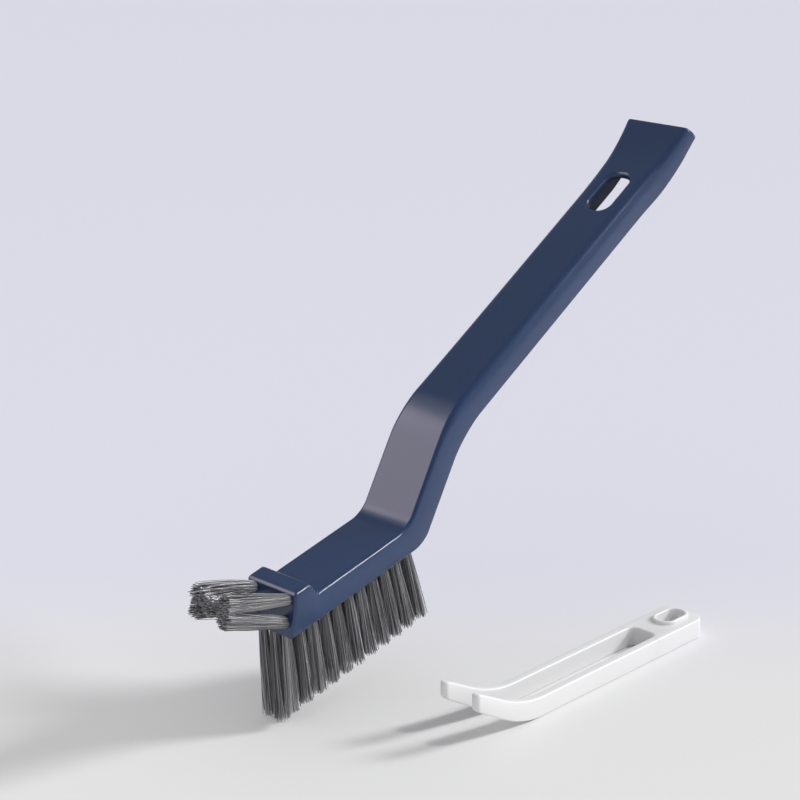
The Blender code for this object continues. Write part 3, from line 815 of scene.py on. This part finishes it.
def clipMoulding(floorZ):
    # one flat fork, its arms' ends raised afterwards
    half = clip["width"] / 2
    inner = half - clip["armThickness"]
    bm = bmesh.new()
    outline = (
        (0.0, -half), (0.0, half),
        (-clip["length"], half), (-clip["length"], inner),
        (-clip["blockLength"], inner), (-clip["blockLength"], -inner),
        (-clip["length"], -inner), (-clip["length"], -half),
    )
    verts = [bm.verts.new((x, y, 0.0)) for x, y in outline]
    bm.faces.new(verts)
    groups = (
        (verts[0:2], clip["blockCorner"]),
        (verts[2:4] + verts[6:8], clip["tipRound"]),
        (verts[4:6], clip["rootRound"]),
    )
    for (group, amount), steps in zip(groups, clip["cornerSteps"]):
        bmesh.ops.bevel(
            bm, geom=group, offset=amount, offset_type="OFFSET", segments=steps, profile=0.5,
            affect="VERTICES", material=-1,
        )
    raised = bmesh.ops.extrude_face_region(bm, geom=bm.faces[:])["geom"]
    lifted = [item for item in raised if isinstance(item, bmesh.types.BMVert)]
    bmesh.ops.translate(bm, vec=(0.0, 0.0, clip["height"]), verts=lifted)
    bmesh.ops.recalc_face_normals(bm, faces=bm.faces[:])
    rims = [
        edge for edge in bm.edges
        if abs(edge.link_faces[0].normal.z - edge.link_faces[1].normal.z) > 0.5
    ]
    roundEdges(bm, rims, clip["edge"], clip["edgeSteps"])
    bendStart = -(clip["length"] - clip["bend"])
    for cut in range(clip["bendCuts"] + 1):
        x = bendStart + clip["bendSoft"] - (clip["bend"] + clip["bendSoft"]) * cut / clip["bendCuts"]
        if x > -clip["length"] + clip["tipSideRound"]:
            bmesh.ops.bisect_plane(
                bm, geom=bm.verts[:] + bm.edges[:] + bm.faces[:],
                plane_co=(x, 0.0, 0.0), plane_no=(1.0, 0.0, 0.0),
            )
    tipRound = clip["tipSideRound"]
    for cut in range(1, clip["tipCuts"]):
        back = tipRound * (1.0 - math.cos(math.pi / 2 * cut / clip["tipCuts"]))
        bmesh.ops.bisect_plane(
            bm, geom=bm.verts[:] + bm.edges[:] + bm.faces[:],
            plane_co=(back - clip["length"], 0.0, 0.0), plane_no=(1.0, 0.0, 0.0),
        )
    middle = clip["height"] / 2
    for vert in bm.verts:
        short = max(tipRound - (vert.co.x + clip["length"]), 0.0)
        draw = tipRound - math.sqrt(max(tipRound ** 2 - short ** 2, 0.0))
        vert.co.z = middle + (vert.co.z - middle) * (1.0 - draw / middle)
    slope = clip["rise"] / clip["bend"]
    soft = clip["bendSoft"]
    for vert in bm.verts:
        past = bendStart - vert.co.x
        if past > -soft:
            share = max(past, 0.0) / clip["bend"]
            vert.co.z *= 1.0 + (clip["tipHeight"] / clip["height"] - 1.0) * share
            lift = slope * (past + soft) ** 2 / (4 * soft) if past < soft else slope * past
            vert.co.z += lift
    piece = meshPiece("clip_whole", bm)
    eyeAt = Matrix.Translation((-clip["eyeFromEnd"], 0.0, 0.0))
    wall = clip["collarWall"]
    length = clip["eyeLength"] + 2 * wall
    width = clip["eyeWidth"] + 2 * wall
    top = clip["height"] + clip["collarHeight"]
    collar = oblongPlug((length, width, width * clip["eyeCorner"]), [(1 * mm, 0.0), (top, 0.0)])
    rim = [edge for edge in collar.edges if min(vert.co.z for vert in edge.verts) > top - 0.1 * mm]
    bmesh.ops.recalc_face_normals(collar, faces=collar.faces[:])
    roundEdges(collar, rim, clip["eyeRim"], clip["eyeRimSteps"])
    bmesh.ops.transform(collar, matrix=eyeAt, verts=collar.verts[:])
    cutOrJoin(piece, meshPiece("collar_tool", collar), "UNION")
    levels = rimLevels(-toolOver, top, clip["eyeRim"], clip["eyeRimSteps"], toolOver)
    eye = oblongPlug((clip["eyeLength"], clip["eyeWidth"], clip["eyeWidth"] * clip["eyeCorner"]), levels)
    bmesh.ops.transform(eye, matrix=eyeAt, verts=eye.verts[:])
    cutOrJoin(piece, meshPiece("eye_tool", eye), "DIFFERENCE")
    place = Matrix.Translation((clip["place"][0], clip["place"][1], floorZ))
    piece.data.transform(place)
    return piece


def partOf(whole, name, cuts):
    # keeps what lies on the inner side of each cutting plane and closes the cuts
    bm = bmesh.new()
    bm.from_mesh(whole.data)
    for spot, normal in cuts:
        cut = bmesh.ops.bisect_plane(
            bm, geom=bm.verts[:] + bm.edges[:] + bm.faces[:],
            plane_co=spot, plane_no=normal, clear_outer=True,
        )["geom_cut"]
        edges = [item for item in cut if isinstance(item, bmesh.types.BMEdge)]
        bmesh.ops.holes_fill(bm, edges=edges, sides=0)
    return meshPiece(name, bm)


def buildClip(material):
    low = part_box("clip_eyelet")[0]
    whole = clipMoulding(low.z)
    rootX = clip["place"][0] - clip["blockLength"] - clip["rootRound"]
    middleY = clip["place"][1]
    spot = (rootX, middleY, 0.0)
    block = partOf(whole, "clip_block", [(spot, (-1.0, 0.0, 0.0))])
    near = partOf(whole, "clip_near_arm", [(spot, (1.0, 0.0, 0.0)), (spot, (0.0, 1.0, 0.0))])
    far = partOf(whole, "clip_far_arm", [(spot, (1.0, 0.0, 0.0)), (spot, (0.0, -1.0, 0.0))])
    bpy.data.objects.remove(whole, do_unlink=True)
    for piece in (block, near, far):
        piece.data.materials.append(material)
        piece.data.shade_smooth()
        piece.data.set_sharp_from_angle(angle=math.radians(clip["sharpAngle"]))
    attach(block, "clip")
    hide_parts("clip_eyelet")
    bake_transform(near)
    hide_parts("clip_arm_near")
    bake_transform(far)
    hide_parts("clip_arm_far")


def splitKey():
    # the key passes the brush by, and a lamp of its own lights it, so the brush throws one shadow only;
    # the floor and the clip are in no receiver set, as with two receiver sets equal runs can give
    # unequal pictures
    brush = bpy.data.collections.new("lit by the brush key")
    passedBy = bpy.data.collections.new("passed by the key")
    clipPieces = bpy.data.collections.new("shadowed by the key")
    for piece in bpy.context.scene.objects:
        if piece.type != "MESH" or piece.name == "floor":
            continue
        if piece.name.startswith("clip"):
            clipPieces.objects.link(piece)
            continue
        brush.objects.link(piece)
        passedBy.objects.link(piece)
    for item in passedBy.collection_objects:
        item.light_linking.link_state = "EXCLUDE"
    key = bpy.data.objects["key"].light_linking
    key.receiver_collection = passedBy
    key.blocker_collection = clipPieces
    for name in ("brushKey", "leftPanel", "frontPanel", "fadePanel"):
        bpy.data.objects[name].light_linking.receiver_collection = brush


def buildFloor(floorZ):
    bm = bmesh.new()
    bmesh.ops.create_grid(bm, x_segments=1, y_segments=1, size=floorLook["size"] / 2)
    bmesh.ops.translate(bm, vec=(0.0, 0.0, floorZ), verts=bm.verts[:])
    floor = meshPiece("floor", bm)
    floor.data.materials.append(paleFloor())


def cameraSides():
    heading = math.radians(photoCamera["heading"])
    ahead = Vector((math.cos(heading), math.sin(heading), 0.0))
    right = Vector((math.sin(heading), -math.cos(heading), 0.0))
    return ahead, right


def addCamera():
    data = bpy.data.cameras.new("photo camera")
    data.lens = photoCamera["lens"]
    data.sensor_width = photoCamera["sensor"]
    data.clip_end = photoCamera["clipEnd"]
    camera = bpy.data.objects.new("photo camera", data)
    camera.location = photoCamera["place"]
    tilt = math.radians(90.0 - photoCamera["down"])
    camera.rotation_euler = (tilt, 0.0, math.radians(photoCamera["heading"] - 90.0))
    bpy.context.scene.collection.objects.link(camera)
    bpy.context.scene.camera = camera


def lampToward(name, data, look, away, aim):
    ahead, right = cameraSides()
    level = (right * look["right"] + ahead * look["back"]).normalized()
    rise = math.radians(look["height"])
    toLamp = level * math.cos(rise) + Vector((0.0, 0.0, math.sin(rise)))
    lamp = bpy.data.objects.new(name, data)
    lamp.location = aim + toLamp * away
    lamp.rotation_euler = toLamp.to_track_quat("Z", "Y").to_euler()
    bpy.context.scene.collection.objects.link(lamp)
    return lamp


def addLamps():
    middle = (cadBox[0] + cadBox[1]) / 2
    for name in ("key", "brushKey", "low"):
        look = lamps[name]
        sun = bpy.data.lights.new(name, "SUN")
        sun.energy = look["strength"]
        sun.angle = math.radians(look["softness"])
        lampToward(name, sun, look, lamps["sunAway"], middle)
    for name in ("leftPanel", "frontPanel", "fadePanel"):
        look = lamps[name]
        panel = bpy.data.lights.new(name, "AREA")
        panel.shape = "RECTANGLE"
        panel.size = look["size"][0]
        panel.size_y = look["size"][1]
        panel.energy = look["power"]
        panel.color = look["color"]
        lampToward(name, panel, look, look["away"], middle).visible_diffuse = False
    world = bpy.data.worlds.new("studio")
    world.use_nodes = True
    sky = world.node_tree.nodes["Background"]
    sky.inputs["Color"].default_value = (*lamps["skyColor"], 1.0)
    path = world.node_tree.nodes.new("ShaderNodeLightPath")
    strength = world.node_tree.nodes.new("ShaderNodeMix")
    strength.inputs["A"].default_value = lamps["skyStrength"]
    strength.inputs["B"].default_value = lamps["skyMirrored"]
    world.node_tree.links.new(path.outputs["Is Glossy Ray"], strength.inputs["Factor"])
    world.node_tree.links.new(strength.outputs["Result"], sky.inputs["Strength"])
    bpy.context.scene.world = world
    bpy.context.scene.view_settings.view_transform = "Standard"


addCamera()
addLamps()
print("camera and lamps placed")

shell = handleShell()
for plastic in (navyPlastic(), navyPaintedShade()):
    shell.data.materials.append(plastic)
cutOrJoin(shell, channelTool(), "DIFFERENCE")
cutOrJoin(shell, slotTool(), "DIFFERENCE")
smoothShade(shell, handle["sharpAngle"])
dress(shell, "brush", ["handle_body"])
print("handle moulded")

buildTufts(greyNylon())
print("bristles drawn")

buildClip(whitePlastic())
print("clip moulded")

buildFloor(cadBox[0].z)
splitKey()
